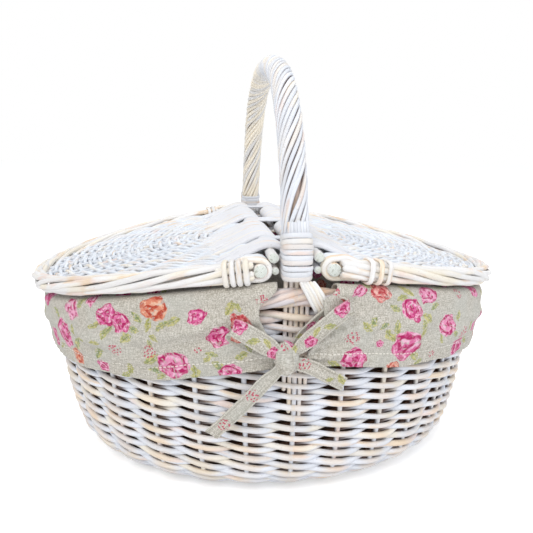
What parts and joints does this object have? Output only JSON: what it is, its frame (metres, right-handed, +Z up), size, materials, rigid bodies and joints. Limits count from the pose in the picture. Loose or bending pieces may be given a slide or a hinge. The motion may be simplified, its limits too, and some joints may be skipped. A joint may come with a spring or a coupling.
{
  "type": "wicker picnic basket",
  "caption": "Oval whitewashed willow picnic basket with hinged half lids, a roped bow handle and a tied floral fabric liner turned over the rim.",
  "frame": {"origin": "centre of the flat underside of the base", "axes": "+X along the basket towards the right lid, +Y towards the rear, +Z up; the front with the tied bow faces -Y"},
  "size_m": [0.4488, 0.3752, 0.3584],
  "materials": {
    "white_willow": "satin",
    "cream_willow": "satin",
    "brown_willow": "matte",
    "liner_print": "matte",
    "tie_print": "matte"
  },
  "bodies": {
    "basket": {"base_weave": "white_willow", "base_edge_wale": "white_willow", "side_weave": "white_willow", "rim_border": "cream_willow", "handle_core": "brown_willow", "handle_roping": "white_willow", "front_handle_binding": "white_willow", "front_leg_splints": "white_willow", "front_rim_lashing": "cream_willow", "front_rail_lashing": "white_willow", "rear_handle_binding": "white_willow", "rear_leg_splints": "white_willow", "rear_rim_lashing": "cream_willow", "rear_rail_lashing": "white_willow", "middle_rail_lashing": "white_willow", "front_left_rail_support": "cream_willow", "front_right_rail_support": "cream_willow", "rear_left_rail_support": "cream_willow", "rear_right_rail_support": "cream_willow", "left_hinge_rail": "cream_willow", "right_hinge_rail": "cream_willow", "liner_bag": "liner_print", "liner_skirt_left": "liner_print", "liner_skirt_right": "liner_print", "front_bow_knot": "tie_print", "front_bow_loop_left": "tie_print", "front_bow_loop_right": "tie_print", "front_bow_tail_left": "tie_print", "front_bow_tail_right": "tie_print", "rear_bow_knot": "tie_print", "rear_bow_loop_left": "tie_print", "rear_bow_loop_right": "tie_print", "rear_bow_tail_left": "tie_print", "rear_bow_tail_right": "tie_print"},
    "left_lid": {"left_lid_rod": "cream_willow", "left_lid_border": "cream_willow", "left_lid_weave": "white_willow", "left_lid_binding_front": "cream_willow", "left_lid_binding_rear": "cream_willow", "left_hinge_loop_front": "white_willow", "left_hinge_loop_rear": "white_willow", "left_hinge_loop_middle_front": "white_willow", "left_hinge_loop_middle_rear": "white_willow"},
    "right_lid": {"right_lid_rod": "cream_willow", "right_lid_border": "cream_willow", "right_lid_weave": "white_willow", "right_lid_binding_front": "cream_willow", "right_lid_binding_rear": "cream_willow", "right_hinge_loop_front": "white_willow", "right_hinge_loop_rear": "white_willow", "right_hinge_loop_middle_front": "white_willow", "right_hinge_loop_middle_rear": "white_willow"}
  },
  "joints": [
    {"name": "left_lid_hinge", "type": "hinge", "parent": "basket", "child": "left_lid", "pos_m": [-0.0168, 0, 0.2], "axis": [0, 1, 0], "range_deg": [0, 98]},
    {"name": "right_lid_hinge", "type": "hinge", "parent": "basket", "child": "right_lid", "pos_m": [0.0168, 0, 0.2], "axis": [0, -1, 0], "range_deg": [0, 98]}
  ]
}
